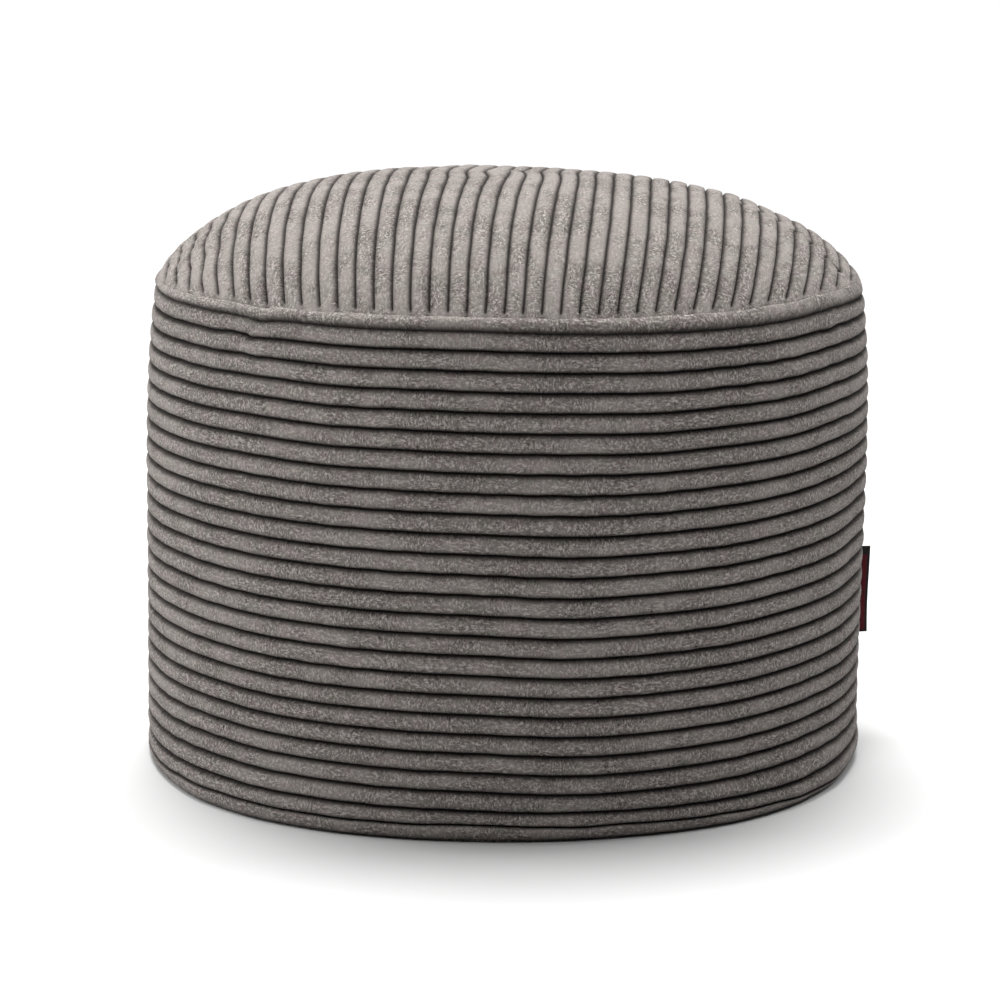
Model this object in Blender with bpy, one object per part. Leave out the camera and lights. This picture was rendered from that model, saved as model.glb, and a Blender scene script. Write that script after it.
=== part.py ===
"""A round corduroy bean bag footstool, 500 mm across and about 400 mm high.

Four sewn pieces: a round top panel domed by the filling, a side band whose wales run round the
drum, a round base panel, and a folded label caught in the band's upright seam. Each of the two
large cloth pieces is filled, so its solid is the share of the bag that it wraps.

Metres. The origin is the middle of the underside, on the floor. +Z is up, -Y is the front and +X
is the right-hand side as seen from the front.
"""

import math

import bmesh
import bpy

# The drum
RADIUS = 0.250  # over the tops of the wales, at its widest
RIM_HEIGHT = 0.3255  # of the groove under the rim roll
RIM_DRAW_IN = 0.0062  # how far the wall has drawn in by the rim
DRAW_IN_FROM = 0.190  # height where the wall starts to draw in
LEAN = 0.0041  # how far the rim's centre sits to the right of the foot's
TILT = 0.012  # the rim drops to the right by this much of its width

# The cord, whose raised ribs are its wales
WALES_ROUND = 24  # full wales between the rim groove and the narrow one near the foot
LOWEST_FULL_GROOVE = 0.0200
LOWEST_GROOVE = 0.0101
WALE_SPREAD = 0.0010  # the wales sit a little high in the upper half and low in the lower
GROOVE_DEPTH = 0.0022

# The rim roll, which is the band's last wale turned over the edge
SEAM_RISE = 0.0080  # of the seam above the rim groove
ROLL_RISE = 0.0040  # of the roll's crest above the rim groove

# The crown
CROWN = 0.0783  # its height above the rim groove
CROWN_SQUARENESS = 2.94  # higher has a flatter top and steeper shoulders
CROWN_SHOULDER = 0.7045
SQUARER_TO_LEFT = 0.152
SHOULDER_TO_LEFT = 0.046
FULLER_TO_LEFT = 0.042
FULLER_TO_FRONT = 0.079
CROWN_WALE = 0.01270
CROWN_TURN = math.radians(-4.5)  # the top's wales run this far off front-to-back
CROWN_ROWS = 14

# The foot
BASE_RADIUS = 0.2425
BASE_THICKNESS = 0.0020
FOOT_CREST = 0.0060  # height of the lowest wale's widest line
FOOT_TUCK = 0.0055  # how far the band's lower edge is tucked under

# The label, a tape folded in two and caught in the upright seam
LABEL_ANGLE = math.radians(100)  # from the front, towards the right
LABEL_LOW = 0.0700
LABEL_HEIGHT = 0.0620
LABEL_STANDS_OUT = 0.0145
LABEL_SEWN_IN = 0.0038
LABEL_THICKNESS = 0.0012
LABEL_ROWS = 5
LABEL_FOLD_POINTS = 3
JOIN_DEPTH = 0.0050  # of the channel that the upright seam draws in
JOIN_HALF_WIDTH = math.radians(1.7)

CLEARANCE = 0.0003  # between pieces
COLUMNS = 54
BASE_COLUMNS = 64

SEAM_HEIGHT = RIM_HEIGHT + SEAM_RISE
RIM_RADIUS = RADIUS - RIM_DRAW_IN


def wall_radius(height):
    """Radius over the wales: upright low down, drawn in towards the rim."""
    share = max(0.0, (height - DRAW_IN_FROM) / (RIM_HEIGHT - DRAW_IN_FROM))
    return RADIUS - RIM_DRAW_IN * share**3


def placed(radius, angle, height):
    """A point of the bag, leaning and tilting more the higher it is. Angle 0 is the front."""
    rise = height / RIM_HEIGHT
    side = radius * math.sin(angle)
    return (side + LEAN * rise, -radius * math.cos(angle), height - TILT * side * rise)


def groove_heights():
    """The grooves round the drum, from the rim groove down."""
    pitch = (RIM_HEIGHT - LOWEST_FULL_GROOVE) / WALES_ROUND
    heights = []
    for number in range(WALES_ROUND + 1):
        spread = WALE_SPREAD * math.sin(2 * math.pi * number / WALES_ROUND)
        heights.append(RIM_HEIGHT - pitch * number + spread)
    return heights + [LOWEST_GROOVE]


def band_profile():
    """(height, distance in from the wall's line) down the band, from the seam to the foot."""
    rows = [
        (SEAM_HEIGHT, RIM_RADIUS * (1 - crown_edge_share()) + CLEARANCE),
        (RIM_HEIGHT + ROLL_RISE, 0.0004),
    ]
    grooves = groove_heights()
    for upper, lower in zip(grooves, grooves[1:]):
        rows.append((upper, GROOVE_DEPTH))
        rows.append(((upper + lower) / 2, 0.0))
    rows.append((grooves[-1], GROOVE_DEPTH))
    rows.append((FOOT_CREST, 0.0))
    rows.append((BASE_THICKNESS + CLEARANCE, FOOT_TUCK))
    return rows


def column_angles():
    """Angles of the band's columns, with three more across the channel of the upright seam."""
    even = [2 * math.pi * number / COLUMNS for number in range(COLUMNS)]
    clear = [angle for angle in even if abs(angle - LABEL_ANGLE) > 1.5 * JOIN_HALF_WIDTH]
    joint = [LABEL_ANGLE - JOIN_HALF_WIDTH, LABEL_ANGLE, LABEL_ANGLE + JOIN_HALF_WIDTH]
    return sorted(clear + joint)


def band_point(height, inset, angle):
    """A point of the band. The upright seam draws it in to an even line, from foot to rim."""
    radius = wall_radius(height) - inset
    in_joint = angle == LABEL_ANGLE and BASE_THICKNESS + CLEARANCE < height < RIM_HEIGHT
    if in_joint:
        radius = wall_radius(height) - JOIN_DEPTH
    return placed(radius, angle, height)


def crown_height(x, y):
    """Height of the crown over the rim plane, at a place measured from the rim's centre."""
    side = x / RIM_RADIUS
    share = min(1.0, math.hypot(x, y) / RIM_RADIUS)
    across = side / share if share else 0.0
    squareness = CROWN_SQUARENESS * (1 - SQUARER_TO_LEFT * across)
    shoulder = CROWN_SHOULDER * (1 - SHOULDER_TO_LEFT * across)
    fullness = 1 - FULLER_TO_LEFT * side - FULLER_TO_FRONT * y / RIM_RADIUS
    return CROWN * fullness * (1 - share**squareness) ** shoulder


def crown_edge_share():
    """The share of the rim's radius at which the crown meets the seam."""
    left = SEAM_RISE / CROWN
    return (1 - left ** (1 / CROWN_SHOULDER)) ** (1 / CROWN_SQUARENESS)


def seam_plane(x):
    """Height of the seam at a distance to the right of the rim's centre."""
    return SEAM_HEIGHT - TILT * x * SEAM_HEIGHT / RIM_HEIGHT


def new_object(name, mesh, material):
    part = bpy.data.objects.new(name, mesh)
    bpy.context.scene.collection.objects.link(part)
    mesh.materials.append(material)
    mesh.shade_smooth()
    return part


def new_material(name, colour, roughness):
    material = bpy.data.materials.new(name)
    material.use_nodes = True
    shader = material.node_tree.nodes["Principled BSDF"]
    shader.inputs["Base Color"].default_value = (*colour, 1)
    shader.inputs["Roughness"].default_value = roughness
    shader.inputs["Metallic"].default_value = 0.0
    return material


def finished_mesh(name, bm):
    bmesh.ops.recalc_face_normals(bm, faces=bm.faces)
    mesh = bpy.data.meshes.new(name)
    bm.to_mesh(mesh)
    bm.free()
    return mesh


def make_side_band(material):
    """A stack of rings joined row to row, closed by a flat cap at the seam and at the foot."""
    bm = bmesh.new()
    angles = column_angles()
    rings = []
    for height, inset in band_profile():
        rings.append([bm.verts.new(band_point(height, inset, angle)) for angle in angles])
    for upper, lower in zip(rings, rings[1:]):
        for here in range(len(angles)):
            after = (here + 1) % len(angles)
            bm.faces.new((upper[here], lower[here], lower[after], upper[after]))
    bm.faces.new(rings[0])
    bm.faces.new(reversed(rings[-1]))
    return new_object("side_band", finished_mesh("side_band", bm), material)


def crown_columns(edge):
    """(distance across, is a groove) for each line along the top's wales, from left to right."""
    half = CROWN_WALE / 2
    most = int(edge / half)
    lines = [(number * half, number % 2 == 1) for number in range(-most, most + 1)]
    return [(-edge, False), *lines, (edge, False)]


def make_top_panel(material):
    """Strips along the wales, from edge to edge of the seam circle, over a flat underside."""
    bm = bmesh.new()
    edge = RIM_RADIUS * crown_edge_share() - CLEARANCE
    tip = 0.0020  # half the length of the shortest strips, at the far left and right
    columns = []
    for across, is_groove in crown_columns(edge):
        reach = max(tip, math.sqrt(max(0.0, edge**2 - across**2)))
        across = math.copysign(math.sqrt(edge**2 - reach**2), across) if reach == tip else across
        column = []
        for row in range(CROWN_ROWS + 1):
            along = -reach * math.cos(math.pi * row / CROWN_ROWS)
            x = across * math.cos(CROWN_TURN) - along * math.sin(CROWN_TURN)
            y = across * math.sin(CROWN_TURN) + along * math.cos(CROWN_TURN)
            depth = GROOVE_DEPTH if is_groove else 0.0
            over_seam = crown_height(x, y) - SEAM_RISE - depth
            on_edge = row in (0, CROWN_ROWS) or abs(across) + tip / 10 > edge * math.cos(tip / edge)
            height = seam_plane(x) + CLEARANCE + (0.0 if on_edge else max(over_seam, tip / 4))
            column.append(bm.verts.new((x + LEAN * SEAM_HEIGHT / RIM_HEIGHT, y, height)))
        columns.append(column)
    for left, right in zip(columns, columns[1:]):
        for row in range(CROWN_ROWS):
            bm.faces.new((left[row], right[row], right[row + 1], left[row + 1]))
    front = [column[0] for column in columns]
    back = [column[-1] for column in columns]
    outline = front + columns[-1][1:-1] + back[::-1] + columns[0][-2:0:-1]
    bm.faces.new(reversed(outline))
    return new_object("top_panel", finished_mesh("top_panel", bm), material)


def make_base_panel(material):
    """A flat round panel of doubled cloth, with a softened edge."""
    bm = bmesh.new()
    bmesh.ops.create_cone(
        bm,
        cap_ends=True,
        segments=BASE_COLUMNS,
        radius1=BASE_RADIUS,
        radius2=BASE_RADIUS,
        depth=BASE_THICKNESS,
    )
    part = new_object("base_panel", finished_mesh("base_panel", bm), material)
    part.location = (0, 0, BASE_THICKNESS / 2)
    part.data.set_sharp_from_angle(angle=math.radians(50))
    return part


def label_outline():
    """(distance out from the wall's line, distance to one side) round the folded tape."""
    half = LABEL_THICKNESS / 2
    fold_centre = LABEL_STANDS_OUT - half
    points = [(-LABEL_SEWN_IN, -half)]
    for number in range(LABEL_FOLD_POINTS + 2):
        turn = math.pi * (number / (LABEL_FOLD_POINTS + 1) - 0.5)
        points.append((fold_centre + half * math.cos(turn), half * math.sin(turn)))
    points.append((-LABEL_SEWN_IN, half))
    return points


def make_label(material):
    """The folded tape, standing out of the upright seam and following the wall's lean."""
    bm = bmesh.new()
    sections = []
    for row in range(LABEL_ROWS):
        height = LABEL_LOW + LABEL_HEIGHT * row / (LABEL_ROWS - 1)
        section = []
        for out, side in label_outline():
            radius = wall_radius(height) + out
            section.append(bm.verts.new(placed(radius, LABEL_ANGLE + side / radius, height)))
        sections.append(section)
    count = len(sections[0])
    for lower, upper in zip(sections, sections[1:]):
        for here in range(count):
            after = (here + 1) % count
            bm.faces.new((lower[here], lower[after], upper[after], upper[here]))
    bm.faces.new(reversed(sections[0]))
    bm.faces.new(sections[-1])
    return new_object("label", finished_mesh("label", bm), material)


def clear_scene():
    for part in list(bpy.data.objects):
        bpy.data.objects.remove(part, do_unlink=True)


def main():
    clear_scene()
    corduroy = new_material("corduroy", (0.205, 0.180, 0.170), 0.95)
    corduroy_band = new_material("corduroy_band", (0.190, 0.167, 0.158), 0.95)
    base_cloth = new_material("base_cloth", (0.170, 0.150, 0.142), 0.95)
    woven_tape = new_material("woven_tape", (0.130, 0.012, 0.018), 0.70)
    make_top_panel(corduroy)
    make_side_band(corduroy_band)
    make_base_panel(base_cloth)
    make_label(woven_tape)


main()
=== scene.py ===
import math

import bpy
import numpy as np
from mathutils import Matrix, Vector


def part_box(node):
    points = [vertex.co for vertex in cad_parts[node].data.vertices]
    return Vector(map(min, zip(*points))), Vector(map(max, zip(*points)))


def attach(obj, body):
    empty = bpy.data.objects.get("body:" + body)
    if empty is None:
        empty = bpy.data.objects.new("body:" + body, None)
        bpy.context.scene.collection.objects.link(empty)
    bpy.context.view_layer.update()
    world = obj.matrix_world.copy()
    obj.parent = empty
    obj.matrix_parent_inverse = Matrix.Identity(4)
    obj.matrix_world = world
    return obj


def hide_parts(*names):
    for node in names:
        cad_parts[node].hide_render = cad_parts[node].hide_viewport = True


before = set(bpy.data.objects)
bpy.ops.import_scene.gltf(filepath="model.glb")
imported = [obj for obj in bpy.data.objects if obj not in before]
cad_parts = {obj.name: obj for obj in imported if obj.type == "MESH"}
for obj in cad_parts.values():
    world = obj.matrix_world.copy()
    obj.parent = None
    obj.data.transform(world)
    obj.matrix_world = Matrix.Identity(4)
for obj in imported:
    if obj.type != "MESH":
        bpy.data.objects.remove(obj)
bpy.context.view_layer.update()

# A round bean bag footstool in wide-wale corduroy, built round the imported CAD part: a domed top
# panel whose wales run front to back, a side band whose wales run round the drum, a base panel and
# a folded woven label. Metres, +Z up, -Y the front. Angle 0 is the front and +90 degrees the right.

# ---- sizes from the frame -------------------------------------------------------------------

band_low, band_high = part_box("side_band")
top_low, top_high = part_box("top_panel")
base_low, base_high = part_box("base_panel")
label_low, label_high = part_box("label")

RADIUS = (band_high.y - band_low.y) / 2  # over the wales, at the widest
SEAM_RISE = 0.0080  # of the top's seam above the rim groove
RIM_HEIGHT = (band_high.z + top_low.z) / 2 - SEAM_RISE
RIM_RADIUS = RADIUS - 0.0062
DRAW_IN_FROM = 0.190  # height where the wall starts to draw in to the rim
LEAN = (top_low.x + top_high.x) / 2  # the rim's centre sits this far to the right
CROWN = (top_high.z - RIM_HEIGHT) * 0.978  # height of the crown, less what its lean adds
CROWN_TILT = 0.0085  # the crown's rise to the right, as a slope
FOOT_HEIGHT = band_low.z
FOOT_TUCK = 0.0055  # how far the lowest wale turns under at the front
FOOT_TUCK_LEAST = 0.0018  # and at the sides and back
SEAM_GAP = 0.00006  # between the top's edge and the band's, where they are sewn together

# ---- the cloth's own sizes ------------------------------------------------------------------

WALES_ROUND = 24  # full wales from the rim groove to the narrow one near the foot
LOWEST_FULL_GROOVE = 0.0200  # its height, and the height of the one under it
LOWEST_GROOVE = 0.0101
ROLL_WIDTH = 0.0087  # of the cloth round the rim roll
FOOT_WIDTH = 0.0110  # of the cloth of the wale that turns under
WALE_SPREAD = 0.0010  # the most that a groove's level differs from even steps
TOP_WALE = 0.0127
TOP_TURN = -0.0514  # the top's wales run this far off front-to-back, in radians
TOP_OFFSET = 0.7312  # of a wale, from the middle to the first groove
GROOVE_DEPTH = 0.0032
GROOVE_HALF = 0.00115  # distance at which a groove has lost most of its depth
SHADE_HALF = 0.00155  # of the painted shade over the dark, bare ground in a groove
TOP_GROOVE = 0.60  # the top's grooves are this much narrower and shallower
WALE_CROWN = 0.0015  # the rounding of a wale between its grooves
TOP_WALE_CROWN = 0.0009
JOIN_ANGLE = math.atan2(label_high.x, -(label_low.y + label_high.y) / 2)
JOIN_DEGREES = math.degrees(JOIN_ANGLE)  # where the band's two ends are sewn together
ROWS_IN_WALE = (0.0, 0.05, 0.11, 0.20, 0.34, 0.50, 0.66, 0.80, 0.89, 0.95)
BAND_COLUMNS = 350
TOP_ROWS = 236
TOP_ROW_SPREAD = 0.93  # below 1, so that a wale's end rows don't crowd together
BASE_COLUMNS = 144

DEGREE = math.pi / 180
MM = 0.001


# ---- helpers for shapes ---------------------------------------------------------------------

def turn_to(angle, centre):
    """Signed angle from centre, in degrees, for angles in radians and a centre in degrees."""
    return (np.degrees(angle) - centre + 180) % 360 - 180


def bump(angle, centre, width):
    """1 at the centre, in degrees, falling off over the width, round the bag."""
    return np.exp(-((turn_to(angle, centre) / width) ** 2))


def ramp(value, start, end):
    """A smooth step from 0 at start to 1 at end."""
    share = np.clip((value - start) / (end - start), 0, 1)
    return share * share * (3 - 2 * share)


def wander(angle, height, seed, slowest, fastest, terms=7):
    """A smooth random value of about -1 to 1, whole turns round the bag, varying with height."""
    rng = np.random.default_rng(seed)
    total = np.zeros(np.broadcast(angle, height).shape)
    for turns in rng.integers(slowest, fastest, terms):
        rise = rng.uniform(-45, 45)
        total = total + np.sin(turns * angle + rise * height + rng.uniform(0, 2 * math.pi))
    return total / math.sqrt(terms / 2) / 1.6


def ripple(x, y, seed, wavelength, terms=7):
    """A smooth random value of about -1 to 1 over a flat place."""
    rng = np.random.default_rng(seed)
    total = np.zeros(np.broadcast(x, y).shape)
    for _ in range(terms):
        heading = rng.uniform(0, 2 * math.pi)
        count = 2 * math.pi / (wavelength * rng.uniform(0.7, 1.5))
        along = x * math.cos(heading) + y * math.sin(heading)
        total = total + np.sin(count * along + rng.uniform(0, 2 * math.pi))
    return total / math.sqrt(terms / 2) / 1.6


def wale_inset(share, width, depth, half=GROOVE_HALF, crown=WALE_CROWN):
    """How far the cloth lies below a wale's crest, at a share of the way across it."""
    rounding = crown * np.abs(2 * share - 1) ** 2.6
    to_groove = np.minimum(share, 1 - share) * width
    return rounding + depth * np.exp(-((to_groove / half) ** 2))


def groove_shade(share, width, half=SHADE_HALF):
    """The share of painted shade: 1 in the bottom of a groove, 0 on the wale."""
    to_groove = np.minimum(share, 1 - share) * width
    return np.exp(-((to_groove / half) ** 2))


def wall_radius(height):
    share = np.clip((height - DRAW_IN_FROM) / (RIM_HEIGHT - DRAW_IN_FROM), 0, 1.2)
    return RADIUS - (RADIUS - RIM_RADIUS) * share**3


def placed(radius, angle, height):
    """Points of the bag as an array. Its centre leans to the right, the higher the more."""
    centre = LEAN * height / RIM_HEIGHT
    return np.stack(
        [radius * np.sin(angle) + centre, -radius * np.cos(angle), height + 0 * radius], axis=-1
    )


# ---- the unevenness of the filled bag -------------------------------------------------------

def wale_drift(angle, height):
    """How far the wales of the band climb or drop from level, round the bag."""
    low = 1 - ramp(height, 0.0, 0.12)
    middle = np.exp(-(((height - 0.19) / 0.075) ** 2))
    fade = 1 / (1 + (np.abs(turn_to(angle, 0)) / 112) ** 8)
    # Higher on the left of the front than on the right, up at the right end half-way down,
    # and down at the left end near the foot.
    climb = -1.75 * np.tanh(turn_to(angle, 3) / 9) * fade
    climb = climb + 4.2 * bump(angle, 74, 18) * middle
    climb = climb - 3.4 * bump(angle, -84, 26) * low
    climb = climb - 0.9 * bump(angle, 42, 14) * (1 - middle)
    climb = climb + 0.35 * wander(angle, height, 3, 5, 17)
    climb = climb + 0.16 * wander(angle, height * 3, 4, 24, 60)
    # The wales don't quite meet across the band's upright join.
    side = np.where(turn_to(angle, 0) < JOIN_DEGREES, -1.0, 1.0)
    side = np.where(np.abs(turn_to(angle, JOIN_DEGREES)) > 90, 0, side)
    return (climb + 0.7 * side * bump(angle, JOIN_DEGREES, 16)) * MM


def rim_drift(angle):
    """The extra rise and dip of the rim groove and the seam."""
    rise = 2.6 * bump(angle, -92, 24) - 2.2 * bump(angle, 92, 20) + 1.0 * bump(angle, 62, 12)
    return (rise - 2.3 * bump(angle, -40.6, 2.5)) * MM


def seam_drift(angle):
    """The rise and dip of the seam between the top and the band, less at the sides."""
    to_side = np.abs(np.sin(angle)) ** 6
    return (wale_drift(angle, RIM_HEIGHT) + rim_drift(angle)) * (1 - 0.35 * to_side)


def groove_heights(angle):
    """Heights of all the grooves round the drum, one row each, from the rim groove down."""
    pitch = (RIM_HEIGHT - LOWEST_FULL_GROOVE) / WALES_ROUND
    rows = []
    for number in range(WALES_ROUND + 1):
        level = RIM_HEIGHT - pitch * number
        level = level + WALE_SPREAD * math.sin(2 * math.pi * number / WALES_ROUND)
        near_rim = math.exp(-number / 0.9)
        rows.append(level + wale_drift(angle, level) + rim_drift(angle) * near_rim)
    # The pucker at the front left bends the next two grooves, and a few others have kinks.
    rows[1] = rows[1] + (1.0 * bump(angle, -46.5, 2.0) - 1.0 * bump(angle, -42.4, 1.3)) * MM
    rows[1] = rows[1] - 1.1 * MM * bump(angle, 59, 2.2)
    rows[2] = rows[2] + (0.5 * bump(angle, -44, 1.3) - 0.4 * bump(angle, -41, 1.3)) * MM
    rows[24] = rows[24] + (1.0 * bump(angle, 12, 8) - 1.4 * bump(angle, 52, 12)) * MM
    level = LOWEST_GROOVE + 0.4 * wale_drift(angle, 0.05)
    waves = 1.7 * bump(angle, -3, 9) + 0.8 * bump(angle, 16, 5) - 0.6 * bump(angle, 4.5, 2)
    dips = 2.6 * bump(angle, -78, 20) + 5.2 * bump(angle, 66, 24)
    level = level + (waves - dips + 0.3 * wander(angle, 0.0, 9, 9, 40)) * MM
    rows.append(np.maximum(level, FOOT_HEIGHT + 0.8 * MM))
    return rows


def wall_swell(angle, height):
    """How far the wall stands out from its plain round, from the filling behind it."""
    swell = 0.45 * wander(angle, height * 0.6, 21, 2, 7) + 0.25 * wander(angle, height, 22, 8, 30)
    swell = swell + 1.6 * bump(angle, 72, 22) * np.exp(-(((height - 0.014) / 0.008) ** 2))
    # The foot spreads over the floor at the front left and the front right.
    flare = 5.6 * bump(angle, -45, 21) + 7.0 * bump(angle, 47, 21)
    swell = swell + flare * (1 - ramp(height, 0.0, 0.045))
    swell = swell - 1.3 * bump(angle, -84, 9) * np.exp(-(((height - 0.018) / 0.004) ** 2))
    swell = swell - 0.8 * bump(angle, 3, 12) * np.exp(-(((height - 0.015) / 0.006) ** 2))
    # The pucker under the rim at the front left, and the upright join.
    crease = -44.5 + 3.6 * ramp(height, RIM_HEIGHT - 0.014, RIM_HEIGHT)
    pinch = np.exp(-((turn_to(angle, 0) - crease) / 1.0) ** 2) * ramp(height, 0.300, 0.318)
    pucker = bump(angle, -42, 4.5) * ramp(height, 0.270, 0.318)
    join = 4.6 * bump(angle, JOIN_DEGREES, 0.55)
    join = join + 1.3 * bump(angle, JOIN_DEGREES, 2.4)
    return (swell - 1.9 * pinch - 0.8 * pucker - join * ramp(height, 0.0, 0.012)) * MM


# ---- the crown ------------------------------------------------------------------------------

CROWN_SQUARENESS = 2.94  # how flat the crown is in the middle
CROWN_SHOULDER = 0.7045  # how round it is towards the rim


def crown_height(x, y):
    """Height over the rim plane, at a place measured from the rim's centre."""
    side = x / RIM_RADIUS
    share = np.clip(np.hypot(x, y) / RIM_RADIUS, 1e-6, 1)
    across = side / share
    squareness = CROWN_SQUARENESS * (1 - 0.152 * across)
    shoulder = CROWN_SHOULDER * (1 - 0.046 * across)
    fullness = 1 - 0.042 * side - 0.079 * y / RIM_RADIUS
    return CROWN * fullness * (1 - share**squareness) ** shoulder


EDGE_SHARE = (1 - (SEAM_RISE / CROWN) ** (1 / CROWN_SHOULDER)) ** (1 / CROWN_SQUARENESS)


def arc_table():
    """Shares of the rim's radius, and the distance over the crown from its top to each."""
    shares = np.linspace(0, EDGE_SHARE, 1500)
    heights = CROWN * (1 - shares**CROWN_SQUARENESS) ** CROWN_SHOULDER
    steps = np.hypot(np.diff(heights), np.diff(shares) * RIM_RADIUS)
    return shares, np.concatenate([[0], np.cumsum(steps)])


ARC_SHARES, ARC_LENGTHS = arc_table()
PANEL_RADIUS = ARC_LENGTHS[-1]


def fold_line(x, y, start, end):
    """(distance from the line through two places, how far along it as a share)."""
    run = np.array(end) - np.array(start)
    length = math.hypot(*run)
    along = ((x - start[0]) * run[0] + (y - start[1]) * run[1]) / length
    away = ((x - start[0]) * -run[1] + (y - start[1]) * run[0]) / length
    return away, along / length


def on_crown(across, along):
    """Plan places, from the rim's centre, of places on the flat cut panel."""
    x = across * math.cos(TOP_TURN) - along * math.sin(TOP_TURN)
    y = across * math.sin(TOP_TURN) + along * math.cos(TOP_TURN)
    reach = np.hypot(x, y)
    share = np.interp(np.clip(reach, 0, PANEL_RADIUS), ARC_LENGTHS, ARC_SHARES)
    scale = share * RIM_RADIUS / np.maximum(reach, 1e-9)
    return x * scale, y * scale


def crown_surface(x, y):
    """Points of the crown over plan places."""
    angle = np.arctan2(x, -y)
    share = np.hypot(x, y) / RIM_RADIUS
    edge = seam_drift(angle) * np.clip(share, 0, 1) ** 9
    soft = 0.9 * MM * ripple(x, y, 31, 0.17) * (1 - np.clip(share, 0, 1) ** 4)
    lumps = 0.25 * MM * ripple(x, y, 32, 0.05)
    tilt = CROWN_TILT * (x + 0.35 * np.abs(x))
    height = RIM_HEIGHT + crown_height(x, y) + tilt + edge + soft + lumps
    return np.stack([x + LEAN, y, height], axis=-1)


def crown_normal(x, y):
    """Unit vectors square to the crown, worked out a little inside so the rim is safe."""
    step = 0.0004
    inward = 1 - 2 * step / RIM_RADIUS
    here = crown_surface(x * inward, y * inward)
    right = crown_surface(x * inward + step, y * inward) - here
    back = crown_surface(x * inward, y * inward + step) - here
    normal = np.cross(right, back)
    return normal / np.linalg.norm(normal, axis=-1, keepdims=True)


# ---- meshes ---------------------------------------------------------------------------------

def mesh_object(name, points, faces, cloth, groove, crest=None):
    """An object from points and quads or triangles, with the cloth's own places stored on it."""
    mesh = bpy.data.meshes.new(name)
    mesh.from_pydata(points.tolist(), [], faces)
    stored = mesh.attributes.new("cloth", "FLOAT_VECTOR", "POINT")
    stored.data.foreach_set("vector", cloth.astype(np.float32).ravel())
    # The share of painted shade in the grooves, and the crest weight that sets the painted flank
    # shade and crest highlight.
    stored = mesh.attributes.new("groove", "FLOAT", "POINT")
    stored.data.foreach_set("value", groove.astype(np.float32).ravel())
    if crest is not None:
        stored = mesh.attributes.new("crest", "FLOAT", "POINT")
        stored.data.foreach_set("value", crest.astype(np.float32).ravel())
    mesh.shade_smooth()
    made = bpy.data.objects.new(name, mesh)
    bpy.context.scene.collection.objects.link(made)
    return made


def grid_faces(rows, columns, round_and_round):
    """Quads between neighbouring rows of a grid of points, facing away from its inside."""
    index = np.arange(rows * columns).reshape(rows, columns)
    if round_and_round:
        index = np.concatenate([index, index[:, :1]], axis=1)
    corners = (index[:-1, :-1], index[1:, :-1], index[1:, 1:], index[:-1, 1:])
    return np.stack(corners, axis=-1).reshape(-1, 4).tolist()


def band_columns():
    """Angles of the columns, closer together at the pucker and the upright join."""
    fine = np.linspace(JOIN_ANGLE - 2 * math.pi, JOIN_ANGLE, 20001)
    crowd = 0.75 + 0.35 * bump(fine, 0, 95) + 1.7 * bump(fine, -43, 5)
    crowd = crowd + 3.0 * bump(fine, JOIN_DEGREES, 2.2)
    total = np.concatenate([[0], np.cumsum((crowd[1:] + crowd[:-1]) / 2)])
    return np.interp(np.arange(BAND_COLUMNS) / BAND_COLUMNS, total / total[-1], fine)


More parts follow.
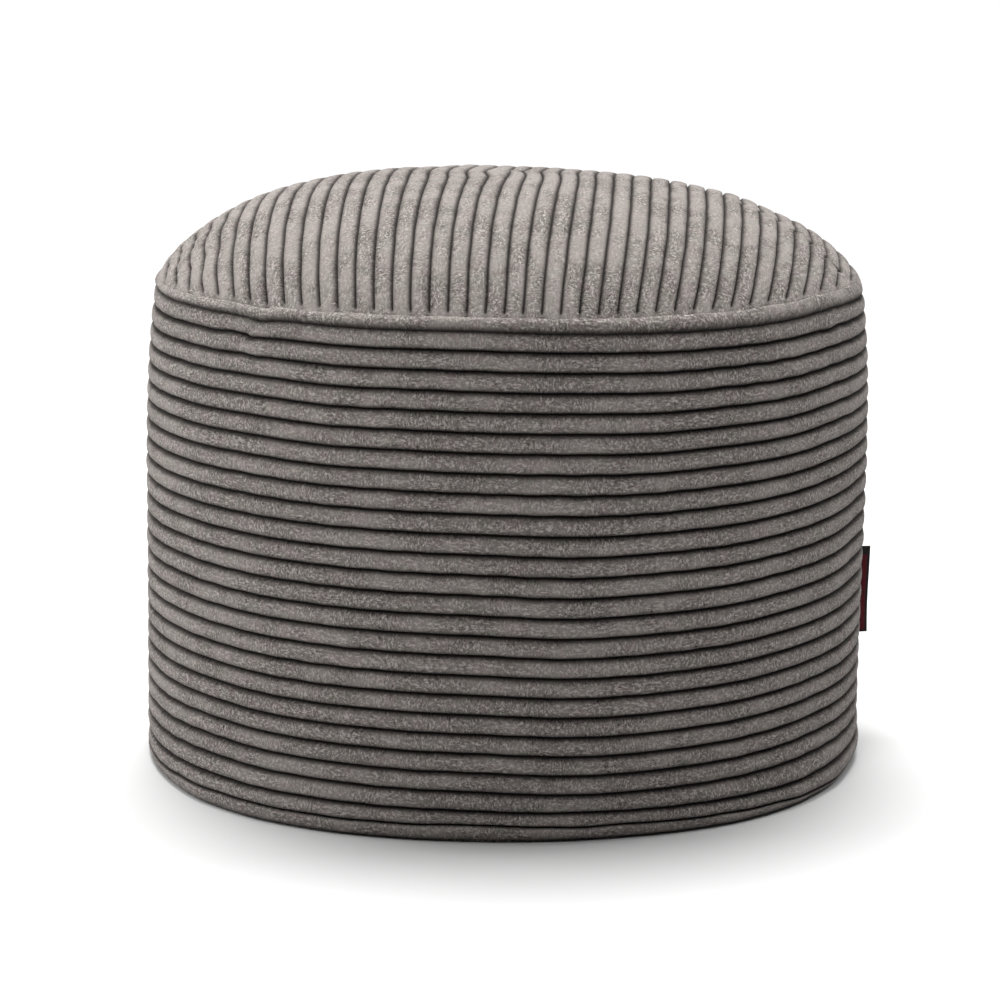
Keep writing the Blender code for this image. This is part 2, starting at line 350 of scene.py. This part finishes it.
def make_side_band():
    angle = band_columns()
    along = (angle - angle[0]) * RADIUS
    rows, cloth, groove, crest = [], [], [], []
    grooves = groove_heights(angle)
    fallen = 0.0

    def add_row(points, across, shade, share):
        rows.append(points)
        cloth.append(np.stack([along, np.full_like(along, across), 0 * along], axis=-1))
        groove.append(np.full_like(along, shade))
        crest.append(np.full_like(along, math.sin(math.pi * share)))

    # The rim roll, from the seam down to the rim groove.
    share = EDGE_SHARE
    seam = crown_surface(
        share * RIM_RADIUS * np.sin(angle), -share * RIM_RADIUS * np.cos(angle)
    )
    rim_radius = wall_radius(RIM_HEIGHT) + wall_swell(angle, RIM_HEIGHT)
    rim = placed(rim_radius, angle, grooves[0])
    upward = 0.45
    out = np.stack([np.sin(angle), -np.cos(angle), upward + 0 * angle], axis=-1) / 1.097
    puff = 1 + 0.16 * wander(angle, 0.0, 41, 20, 70)[:, None]
    tucked = seam - out * 0.9 * MM + np.array([0, 0, -0.8 * MM])
    # The roll's crest weights set its painted flank shade: most at the seam, none by the rim
    # groove.
    add_row(tucked, fallen, 0.0, 0.2)
    for share in (0.0, 0.06, 0.14, 0.26, 0.40, 0.55, 0.70, 0.82, 0.91, 0.96):
        slim = 1 - 0.65 * np.abs(np.sin(angle))[:, None] ** 6
        roll = 2.1 * MM * (1 - np.abs(2 * share - 1) ** 2.4) * puff * slim
        cut = GROOVE_DEPTH * math.exp(-(((1 - share) * ROLL_WIDTH / GROOVE_HALF) ** 2))
        shade = math.exp(-(((1 - share) * ROLL_WIDTH / SHADE_HALF) ** 2))
        rolled = seam * (1 - share) + rim * share + out * (roll - cut)
        add_row(rolled, share * ROLL_WIDTH, shade, 0.25 + share * 0.75)
    fallen = ROLL_WIDTH

    # The wales of the drum.
    for number, (upper, lower) in enumerate(zip(grooves, grooves[1:])):
        width = float(np.mean(upper - lower))
        deeper = 1 + 0.10 * wander(angle, number * 0.02, 50 + number, 6, 40)
        plump = 0.25 * MM * wander(angle, number * 0.02, 90 + number, 14, 60)
        for share in ROWS_IN_WALE:
            height = upper + (lower - upper) * share
            inset = wale_inset(share, width, GROOVE_DEPTH * deeper)
            plumped = plump * math.sin(math.pi * share)
            radius = wall_radius(height) + wall_swell(angle, height) - inset + plumped
            points = placed(radius, angle, height)
            add_row(points, fallen + width * share, groove_shade(share, width), share)
        fallen += width

    # The lowest wale, rolled under to the base.
    last = grooves[-1]
    turned = turn_to(angle, 0)
    set_back = 1.6 * MM * ramp(turned, 36, 56) * (1 - ramp(turned, 95, 120))
    # Its crest weight rises to 1 at the floor, so its painted flank shade lies near its groove
    # only.
    for share in (0.0, 0.07, 0.15, 0.27, 0.40, 0.54, 0.68, 0.80, 0.90, 1.0):
        height = last + (FOOT_HEIGHT - last) * (1 - math.cos(share * math.pi / 2) ** 1.3)
        tuck = FOOT_TUCK_LEAST + (FOOT_TUCK - FOOT_TUCK_LEAST) * bump(angle, 0, 22)
        tuck = tuck * share**3.2
        cut = GROOVE_DEPTH * math.exp(-((share * FOOT_WIDTH / GROOVE_HALF) ** 2))
        cut = cut + WALE_CROWN * (1 - min(1, share * 2)) ** 2.2
        radius = wall_radius(height) + wall_swell(angle, height) - cut - tuck - set_back
        shade = math.exp(-((share * FOOT_WIDTH / SHADE_HALF) ** 2))
        add_row(placed(radius, angle, height), fallen + FOOT_WIDTH * share, shade, share)

    count = len(angle)
    points = np.concatenate(rows)
    faces = grid_faces(len(rows), count, True)
    seam_centre = np.array([[LEAN, 0, np.mean(rows[0][:, 2])]])
    foot_centre = np.array([[0, 0, FOOT_HEIGHT]])
    points = np.concatenate([points, seam_centre, foot_centre])
    top_index, foot_index = len(points) - 2, len(points) - 1
    last_row = (len(rows) - 1) * count
    for here in range(count):
        after = (here + 1) % count
        faces.append((top_index, here, after))
        faces.append((foot_index, last_row + after, last_row + here))
    cloth_places = np.concatenate([*cloth, np.zeros((2, 3))])
    # The caps' centres take the full painted groove shade.
    shades = np.concatenate([*groove, np.ones(2)])
    crests = np.concatenate([*crest, np.zeros(2)])
    return mesh_object("corduroy_band", points, faces, cloth_places, shades, crests)


def top_lines():
    """(across the flat panel, share of the way across its wale) for each line of the mesh."""
    lines = []
    reach = PANEL_RADIUS * 0.9995
    least_gap = 0.4 * MM
    count = int(PANEL_RADIUS / TOP_WALE) + 2
    for number in range(-count, count + 1):
        for share in ROWS_IN_WALE:
            across = (number + share + TOP_OFFSET) * TOP_WALE
            if abs(across) < reach - least_gap:
                lines.append((across, share))
    first = (-reach, (-reach / TOP_WALE - TOP_OFFSET) % 1)
    last = (reach, (reach / TOP_WALE - TOP_OFFSET) % 1)
    return [first, *lines, last]


def skewed(across, along):
    """The wales as laid on the crown: not quite evenly, and a little to the right in all."""
    side, ahead = across / PANEL_RADIUS, along / PANEL_RADIUS
    shift = (4.5 + 3.9 * ahead - 4.2 * side - 2.5 * side**2 + 7.9 * side**3) * MM
    reach = np.hypot(across, along)
    keep = reach / np.maximum(np.hypot(across + shift, along), 1e-9)
    return (across + shift) * keep, along * keep


FOLD_START = (0.160, -0.030)  # the fold near the top's right edge, from the rim's centre
FOLD_END = (0.232, -0.085)


def top_shift(x, y):
    """How far the wales are dragged sideways: slow waves, the pull at the left edge and the fold.
    """
    shift = 0.45 * ripple(x, y, 61, 0.11) + 0.14 * ripple(x, y, 62, 0.03)
    away, along = fold_line(x, y, FOLD_START, FOLD_END)
    on_fold = ramp(along, -0.25, 0.1) * (1 - ramp(along, 1.0, 1.3))
    shift = shift + 1.3 * np.sign(away) * np.exp(-np.abs(away) / 0.016) * on_fold
    left = ramp(-x, 0.165, 0.215)
    shift = shift + 1.2 * left * np.sin(y * 2 * math.pi / 0.052 + 1.0)
    return shift * MM


def top_fold(x, y):
    """How far the cloth sinks along the fold near the right edge and the puckers at the left."""
    away, along = fold_line(x, y, FOLD_START, FOLD_END)
    on_fold = ramp(along, -0.25, 0.15) * (1 - ramp(along, 0.95, 1.2))
    sink = 1.5 * np.exp(-((away / 0.0032) ** 2)) - 0.7 * np.exp(-((away / 0.012) ** 2))
    left = ramp(-x, 0.185, 0.225)
    return (sink * on_fold + 0.9 * left * np.sin(y * 2 * math.pi / 0.034) ** 4) * MM


def make_top_panel():
    lines = top_lines()
    across = np.array([line[0] for line in lines])[:, None]
    share = np.array([line[1] for line in lines])[:, None]
    reach = np.sqrt(PANEL_RADIUS**2 - across**2)
    widest = math.pi / 2 * TOP_ROW_SPREAD
    along = reach * np.sin(np.linspace(-1, 1, TOP_ROWS) * widest)[None, :]
    along = along / math.sin(widest)
    x, y = on_crown(across + 0 * along, along)
    edge_gap = PANEL_RADIUS - np.hypot(across + 0 * along, along)
    inner = ramp(edge_gap, 0.0, 0.012)
    laid_across, laid_along = skewed(across, along)
    x, y = on_crown(laid_across + top_shift(x, y) * inner, laid_along)
    tight = 1 - SEAM_GAP / RIM_RADIUS
    x, y = x * tight, y * tight
    deeper = 1 + 0.08 * ripple(x, y, 71, 0.04)
    half = GROOVE_HALF * TOP_GROOVE
    depth = GROOVE_DEPTH * TOP_GROOVE * deeper
    inset = wale_inset(share, TOP_WALE, depth, half, TOP_WALE_CROWN)
    plump = 0.22 * MM * ripple(x, y, 72, 0.035) * np.sin(math.pi * share)
    open_groove = ramp(edge_gap, 0.0008, 0.0048)
    sunk = inset * open_groove - plump + top_fold(x, y) * inner
    points = crown_surface(x, y) - crown_normal(x, y) * sunk[..., None]
    shade = groove_shade(share, TOP_WALE, SHADE_HALF * TOP_GROOVE) * open_groove

    count, rows = points.shape[:2]
    index = np.arange(count * rows).reshape(count, rows)
    outline = np.concatenate(
        [index[:, 0], index[-1, 1:-1], index[::-1, -1], index[0, -2:0:-1]]
    )
    flat = points.reshape(-1, 3)
    centre = np.array([LEAN, 0, 0])
    skirt = flat[outline]
    skirt = skirt + (centre - skirt) * np.array([1, 1, 0]) * 0.005 - np.array([0, 0, 1.6 * MM])
    below = np.array([[LEAN, 0, float(np.mean(skirt[:, 2]))]])
    faces = [tuple(reversed(face)) for face in grid_faces(count, rows, False)]
    first = len(flat)
    size = len(outline)
    for here in range(size):
        after = (here + 1) % size
        faces.append((int(outline[here]), first + here, first + after, int(outline[after])))
        faces.append((first + after, first + here, first + size))
    cloth = np.stack([along + 0 * across, across + 0 * along, 0 * (across + along)], axis=-1)
    cloth = cloth.reshape(-1, 3)
    cloth = np.concatenate([cloth, cloth[outline], np.zeros((1, 3))])
    # The skirt under the edge, and its centre, take the full painted groove shade.
    shades = np.concatenate([shade.ravel(), np.ones(size + 1)])
    crests = np.sin(math.pi * share) * np.ones_like(along)
    crests = np.concatenate([crests.ravel(), np.zeros(size + 1)])
    all_points = np.concatenate([flat, skirt, below])
    return mesh_object("corduroy_top", all_points, faces, cloth, shades, crests)


def make_base_panel():
    """A flat round panel, its wales pressed flat by the weight on it."""
    radius = (base_high.x - base_low.x) / 2
    thickness = base_high.z - base_low.z
    angle = np.arange(BASE_COLUMNS) * 2 * math.pi / BASE_COLUMNS
    rows, cloth, groove = [], [], []
    rings = [(share * radius, thickness) for share in (0.25, 0.5, 0.75, 0.97)]
    rings += [(radius, thickness * 0.75), (radius, thickness * 0.25)]
    rings += [(share * radius, 0.0) for share in np.linspace(0.995, 0.04, 46)]
    for reach, height in rings:
        x, y = reach * np.sin(angle), -reach * np.cos(angle)
        share = (x / TOP_WALE) % 1
        pressed = 0.35 * MM * np.exp(-((np.minimum(share, 1 - share) / 0.12) ** 2))
        under = height == 0.0 and reach < 0.985 * radius
        rows.append(np.stack([x, y, base_low.z + height + pressed * under], axis=-1))
        cloth.append(np.stack([y, x, 0 * x], axis=-1))
        # Painted shade in the pressed grooves underneath.
        groove.append(np.exp(-((np.minimum(share, 1 - share) / 0.10) ** 2)) * under)
    points = np.concatenate(rows)
    faces = grid_faces(len(rows), BASE_COLUMNS, True)
    points = np.concatenate([points, [[0, 0, base_high.z], [0, 0, base_low.z + 0.1 * MM]]])
    above, under = len(points) - 2, len(points) - 1
    last_row = (len(rows) - 1) * BASE_COLUMNS
    for here in range(BASE_COLUMNS):
        after = (here + 1) % BASE_COLUMNS
        faces.append((above, here, after))
        faces.append((under, last_row + after, last_row + here))
    cloth = np.concatenate([*cloth, np.zeros((2, 3))])
    shades = np.concatenate([*groove, np.zeros(2)])
    return mesh_object("base_cloth", points, faces, cloth, shades, 0.5 - 0.5 * shades)


LABEL_TAPE = 0.0005  # thickness of the woven tape
LABEL_GAP = 0.0002  # between the tape's two layers
LABEL_TIP = 0.0166  # how far the fold stands out from the wall
LABEL_LOW = label_low.z - 0.0012  # its lower and upper ends
LABEL_HIGH = label_high.z + 0.0006
LABEL_SEWN_IN = 0.0038  # how far its ends reach into the join
LABEL_ROWS = 44
LABEL_OUT_POINTS = 16


def label_section():
    """(distance out, distance to one side, distance along the tape) of the folded tape."""
    inner = -LABEL_SEWN_IN
    middle = LABEL_GAP / 2 + LABEL_TAPE / 2
    fold = LABEL_TIP - middle - LABEL_TAPE / 2
    run = [(out, -middle) for out in np.linspace(inner, fold, LABEL_OUT_POINTS)]
    turns = np.linspace(-math.pi / 2, math.pi / 2, 9)[1:-1]
    run += [(fold + middle * math.cos(t), middle * math.sin(t)) for t in turns]
    run += [(out, middle) for out in np.linspace(fold, inner, LABEL_OUT_POINTS)]
    run = np.array(run)
    steps = np.hypot(*np.diff(run, axis=0).T)
    return run, np.concatenate([[0], np.cumsum(steps)])


def make_label():
    """A tape folded in two, standing out of the band's join, one layer close on the other."""
    run, length = label_section()
    heading = np.gradient(run, axis=0)
    heading = heading / np.linalg.norm(heading, axis=1, keepdims=True)
    aside = np.stack([heading[:, 1], -heading[:, 0]], axis=1) * LABEL_TAPE / 2
    loop = np.concatenate([run + aside, (run - aside)[::-1]])
    loop_length = np.concatenate([length, length[::-1]])
    low, high = LABEL_LOW, LABEL_HIGH
    rows, cloth = [], []
    for height in np.linspace(low, high, LABEL_ROWS):
        share = (height - low) / (high - low)
        out, side = loop[:, 0], loop[:, 1]
        free = np.clip(out / LABEL_TIP, 0, 1)
        bend = (1.6 * free**2 + 0.8 * free * math.sin(share * 5.0 + 0.6)) * MM
        lift = 0.5 * MM * free * math.sin(share * math.pi)
        radius = wall_radius(height) + out - lift
        points = placed(radius, JOIN_ANGLE + (side + bend) / radius, height - 0.7 * MM * free)
        rows.append(points)
        cloth.append(np.stack([loop_length, 0 * loop_length + height - low, 0 * out], axis=-1))
    points, cloth = np.concatenate(rows), np.concatenate(cloth)
    count = len(loop)
    faces = [tuple(reversed(face)) for face in grid_faces(LABEL_ROWS, count, True)]
    half = count // 2
    last = (LABEL_ROWS - 1) * count
    for here in range(half - 1):
        mates = (here, here + 1, count - 2 - here, count - 1 - here)
        faces.append(tuple(reversed(mates)))
        faces.append(tuple(last + mate for mate in mates))
    return mesh_object("woven_label", points, faces, cloth, np.zeros(len(points)))


# ---- materials ------------------------------------------------------------------------------

PINKISH = (0.124, 0.105, 0.100)  # the pile's two tints
GREENISH = (0.114, 0.106, 0.094)
PALE_PILE = (0.39, 0.358, 0.336)  # lit tufts, and pile crushed smooth
DARK_PILE = (0.012, 0.010, 0.009)  # between the tufts
FLANK_SHADE = (0.030, 0.025, 0.023)  # painted shade down the sides of a wale
SHADED_BARE_GROUND = (0.0060, 0.0045, 0.0038)  # the bare ground in the grooves, darkened with painted shade
TAPE_BLACK = (0.012, 0.009, 0.009)


def tree_of(name):
    """A new material with its node tree's nodes and links and its shader."""
    material = bpy.data.materials.new(name)
    material.use_nodes = True
    nodes = material.node_tree.nodes
    return material, nodes, material.node_tree.links, nodes["Principled BSDF"]


def attribute(nodes, name):
    node = nodes.new("ShaderNodeAttribute")
    node.attribute_name = name
    return node


def noise(nodes, links, places, scale, detail=2.0, roughness=0.5, distortion=0.0):
    node = nodes.new("ShaderNodeTexNoise")
    node.inputs["Scale"].default_value = scale
    node.inputs["Detail"].default_value = detail
    node.inputs["Roughness"].default_value = roughness
    node.inputs["Distortion"].default_value = distortion
    links.new(places, node.inputs["Vector"])
    return node.outputs["Fac"]


def between(nodes, links, value, start, end, low=0.0, high=1.0):
    """The value remapped from start..end to low..high, clamped."""
    node = nodes.new("ShaderNodeMapRange")
    node.interpolation_type = "SMOOTHSTEP"
    node.inputs["From Min"].default_value = start
    node.inputs["From Max"].default_value = end
    node.inputs["To Min"].default_value = low
    node.inputs["To Max"].default_value = high
    links.new(value, node.inputs["Value"])
    return node.outputs["Result"]


def maths(nodes, links, kind, first, second):
    node = nodes.new("ShaderNodeMath")
    node.operation = kind
    for socket, value in zip(node.inputs, (first, second)):
        if isinstance(value, (int, float)):
            socket.default_value = value
        else:
            links.new(value, socket)
    return node.outputs[0]


def colour_mix(nodes, links, share, first, second):
    node = nodes.new("ShaderNodeMix")
    node.data_type = "RGBA"
    sockets = (node.inputs[0], node.inputs[6], node.inputs[7])
    for socket, value in zip(sockets, (share, first, second)):
        if isinstance(value, tuple):
            socket.default_value = (*value, 1)
        elif isinstance(value, float):
            socket.default_value = value
        else:
            links.new(value, socket)
    return node.outputs[2]


def stretched(nodes, links, places, along, across):
    node = nodes.new("ShaderNodeVectorMath")
    node.operation = "MULTIPLY"
    node.inputs[1].default_value = (along, across, 1)
    links.new(places, node.inputs[0])
    return node.outputs[0]


def corduroy(name, lightness, patch_bias=0.0, smoothness=0.42):
    """Plush cut pile: flecks of tufts, crushed smooth patches, a painted highlight on the crests,
    painted shade down the flanks and painted shade over the dark bare ground of the grooves.
    """
    material, nodes, links, shader = tree_of(name)
    places = attribute(nodes, "cloth").outputs["Vector"]
    groove = attribute(nodes, "groove").outputs["Fac"]
    crest = attribute(nodes, "crest").outputs["Fac"]

    def blend(first, second, share):
        first = maths(nodes, links, "MULTIPLY", first, 1 - share)
        return maths(nodes, links, "ADD", first, maths(nodes, links, "MULTIPLY", second, share))

    wide = noise(nodes, links, stretched(nodes, links, places, 0.8, 1.0), 21, 2.0, 0.5)
    narrow = noise(nodes, links, stretched(nodes, links, places, 0.7, 1.3), 62, 2.5, 0.6)
    patches = blend(wide, narrow, 0.5)
    crushed = between(nodes, links, patches, 0.43 - patch_bias, 0.62 - patch_bias)

    upright = noise(nodes, links, stretched(nodes, links, places, 1.0, 0.5), 800, 2.0, 0.6, 0.5)
    lying = noise(nodes, links, stretched(nodes, links, places, 0.42, 1.0), 740, 2.0, 0.6, 0.5)
    curls = noise(nodes, links, places, 520, 2.0, 0.6, 1.2)
    lay = between(nodes, links, noise(nodes, links, places, 40, 1.0), 0.42, 0.58)
    strand = nodes.new("ShaderNodeMix")
    links.new(lay, strand.inputs[0])
    links.new(upright, strand.inputs[2])
    links.new(lying, strand.inputs[3])
    tufts = blend(strand.outputs[0], curls, 0.45)

    tint = noise(nodes, links, places, 75, 2.0, 0.5)
    pinkish = tuple(lightness * c for c in PINKISH)
    greenish = tuple(lightness * c for c in GREENISH)
    shade = colour_mix(nodes, links, between(nodes, links, tint, 0.35, 0.65), pinkish, greenish)
    dark_tufts = colour_mix(nodes, links, 0.88, shade, DARK_PILE)
    light_tufts = colour_mix(nodes, links, 0.68, shade, PALE_PILE)
    # A painted highlight: the crests get more pale tufts and fewer dark ones.
    lift = maths(nodes, links, "MULTIPLY", crest, 0.08)
    crest_highlighted_tufts = maths(nodes, links, "ADD", tufts, maths(nodes, links, "SUBTRACT", lift, 0.055))
    lit = between(nodes, links, crest_highlighted_tufts, 0.49, 0.63)
    deep = between(nodes, links, crest_highlighted_tufts, 0.46, 0.36, 0.0, 0.80)
    fuzzy = colour_mix(nodes, links, lit, shade, light_tufts)
    fuzzy = colour_mix(nodes, links, deep, fuzzy, dark_tufts)
    smooth = colour_mix(nodes, links, 0.30, shade, PALE_PILE)
    smooth_share = maths(nodes, links, "MULTIPLY", crushed, smoothness)
    colour = colour_mix(nodes, links, smooth_share, fuzzy, smooth)
    # Painted shade down the wale's flanks, strongest beside the grooves.
    painted_flank_shade = between(nodes, links, crest, 0.10, 0.75, 0.34, 0.0)
    colour = colour_mix(nodes, links, painted_flank_shade, colour, FLANK_SHADE)
    # Painted shade in the grooves, over the bare ground's own darker colour.
    colour = colour_mix(nodes, links, groove, colour, SHADED_BARE_GROUND)
    links.new(colour, shader.inputs["Base Color"])

    rough = between(nodes, links, tufts, 0.3, 0.7, 0.96, 0.82)
    links.new(rough, shader.inputs["Roughness"])
    flatness = between(nodes, links, patches, 0.46 - patch_bias, 0.58 - patch_bias, 1.0, 0.35)
    height = maths(nodes, links, "MULTIPLY", tufts, flatness)
    relief = nodes.new("ShaderNodeBump")
    relief.inputs["Strength"].default_value = 1.0
    relief.inputs["Distance"].default_value = 0.0022
    links.new(height, relief.inputs["Height"])
    links.new(relief.outputs["Normal"], shader.inputs["Normal"])
    shader.inputs["Specular IOR Level"].default_value = 0.08
    shader.inputs["Sheen Weight"].default_value = 0.06
    shader.inputs["Sheen Roughness"].default_value = 0.45
    shader.inputs["Sheen Tint"].default_value = (0.86, 0.82, 0.80, 1)
    return material


def woven_tape():
    """A dark red woven tape with black bands at its top, foot and fold and a line half-way."""
    material, nodes, links, shader = tree_of("woven_tape")
    places = attribute(nodes, "cloth").outputs["Vector"]
    parts = nodes.new("ShaderNodeSeparateXYZ")
    links.new(places, parts.inputs[0])
    length = label_section()[1]
    height = label_high.z - label_low.z
    top_band = between(nodes, links, parts.outputs["Y"], height - 0.0046, height - 0.0040)
    foot_band = between(nodes, links, parts.outputs["Y"], 0.0017, 0.0012)
    mid = maths(nodes, links, "SUBTRACT", parts.outputs["Y"], height * 0.48)
    mid = maths(nodes, links, "ABSOLUTE", mid, 0)
    mid_line = between(nodes, links, mid, 0.0009, 0.0004, 0.0, 0.6)
    to_fold = maths(nodes, links, "SUBTRACT", parts.outputs["X"], float(length[-1] / 2))
    to_fold = maths(nodes, links, "ABSOLUTE", to_fold, 0)
    fold_band = between(nodes, links, to_fold, 0.0024, 0.0018)
    black = top_band
    for mark in (foot_band, fold_band, mid_line):
        black = maths(nodes, links, "MAXIMUM", black, mark)
    threads = nodes.new("ShaderNodeTexWave")
    threads.bands_direction = "Y"
    threads.inputs["Scale"].default_value = 620
    threads.inputs["Distortion"].default_value = 0.6
    links.new(places, threads.inputs["Vector"])
    uneven = noise(nodes, links, places, 900, 2.0)
    red = colour_mix(nodes, links, uneven, (0.052, 0.0030, 0.0065), (0.092, 0.0060, 0.0110))
    colour = colour_mix(nodes, links, black, red, TAPE_BLACK)
    links.new(colour, shader.inputs["Base Color"])
    relief = nodes.new("ShaderNodeBump")
    relief.inputs["Distance"].default_value = 0.00015
    links.new(threads.outputs["Fac"], relief.inputs["Height"])
    links.new(relief.outputs["Normal"], shader.inputs["Normal"])
    links.new(between(nodes, links, uneven, 0.3, 0.7, 0.6, 0.8), shader.inputs["Roughness"])
    shader.inputs["Specular IOR Level"].default_value = 0.12
    return material


def pale_floor():
    material, _, _, shader = tree_of("pale_floor")
    shader.inputs["Base Color"].default_value = (0.46, 0.46, 0.46, 1)
    shader.inputs["Roughness"].default_value = 0.9
    shader.inputs["Specular IOR Level"].default_value = 0.0
    return material


# ---- stage ----------------------------------------------------------------------------------

CAMERA_DISTANCE = 2.10
CAMERA_HEIGHT = 0.591
CAMERA_DOWN = 11.25  # degrees below level
CAMERA_LENS = 109.9
CAMERA_SHIFT = -0.0025


def make_camera():
    data = bpy.data.cameras.new("camera")
    data.lens = CAMERA_LENS
    data.sensor_width = 36
    camera = bpy.data.objects.new("camera", data)
    camera.location = (0, -CAMERA_DISTANCE, CAMERA_HEIGHT)
    camera.rotation_euler = ((90 - CAMERA_DOWN) * DEGREE, 0, 0)
    data.shift_x = CAMERA_SHIFT
    bpy.context.scene.collection.objects.link(camera)
    bpy.context.scene.camera = camera


def make_lamp(name, place, aim, size, power):
    data = bpy.data.lights.new(name, "AREA")
    data.shape = "RECTANGLE"
    data.size, data.size_y = size
    data.energy = power
    lamp = bpy.data.objects.new(name, data)
    lamp.location = place
    heading = (np.array(aim) - np.array(place)).tolist()
    lamp.rotation_euler = Vector(heading).to_track_quat("-Z", "Y").to_euler()
    bpy.context.scene.collection.objects.link(lamp)


def make_sun(name, came_from, strength, spread):
    data = bpy.data.lights.new(name, "SUN")
    data.energy = strength
    data.angle = spread * DEGREE
    lamp = bpy.data.objects.new(name, data)
    lamp.rotation_euler = (-Vector(came_from)).to_track_quat("-Z", "Y").to_euler()
    bpy.context.scene.collection.objects.link(lamp)


def make_stage():
    bpy.ops.mesh.primitive_plane_add(size=80)
    floor = bpy.context.object
    floor.name = "floor"
    floor.data.materials.append(pale_floor())
    middle = (0, 0, 0.2)
    make_sun("overhead", (-0.02, 0.36, 1.0), 7.0, 36)
    make_lamp("left_box", (-2.0, 0.1, 0.9), middle, (1.4, 1.6), 44)
    make_lamp("right_box", (1.6, 0.3, 1.6), (0, 0, 0.36), (0.8, 1.0), 19)
    make_lamp("front_box", (-0.3, -2.0, 2.1), middle, (1.6, 1.0), 34)
    world = bpy.data.worlds.new("studio")
    world.use_nodes = True
    nodes, links = world.node_tree.nodes, world.node_tree.links
    glow = nodes["Background"]
    glow.inputs["Color"].default_value = (1, 1, 1, 1)
    path = nodes.new("ShaderNodeLightPath")
    seen = nodes.new("ShaderNodeMapRange")
    seen.inputs["To Min"].default_value = 0.10
    seen.inputs["To Max"].default_value = 1.0
    links.new(path.outputs["Is Camera Ray"], seen.inputs["Value"])
    links.new(seen.outputs["Result"], glow.inputs["Strength"])
    bpy.context.scene.world = world
    bpy.context.scene.view_settings.view_transform = "Standard"


# ---- the object -----------------------------------------------------------------------------

def finish_piece(piece, material, node):
    piece.data.materials.append(material)
    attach(piece, "root")
    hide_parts(node)


make_camera()
make_stage()

band = make_side_band()
finish_piece(band, corduroy("band_corduroy", 1.0), "side_band")

top = make_top_panel()
finish_piece(top, corduroy("top_corduroy", 1.0, 0.03, 0.62), "top_panel")

base = make_base_panel()
finish_piece(base, corduroy("base_corduroy", 0.9), "base_panel")

label = make_label()
finish_piece(label, woven_tape(), "label")
float(label_section()[1][-1])
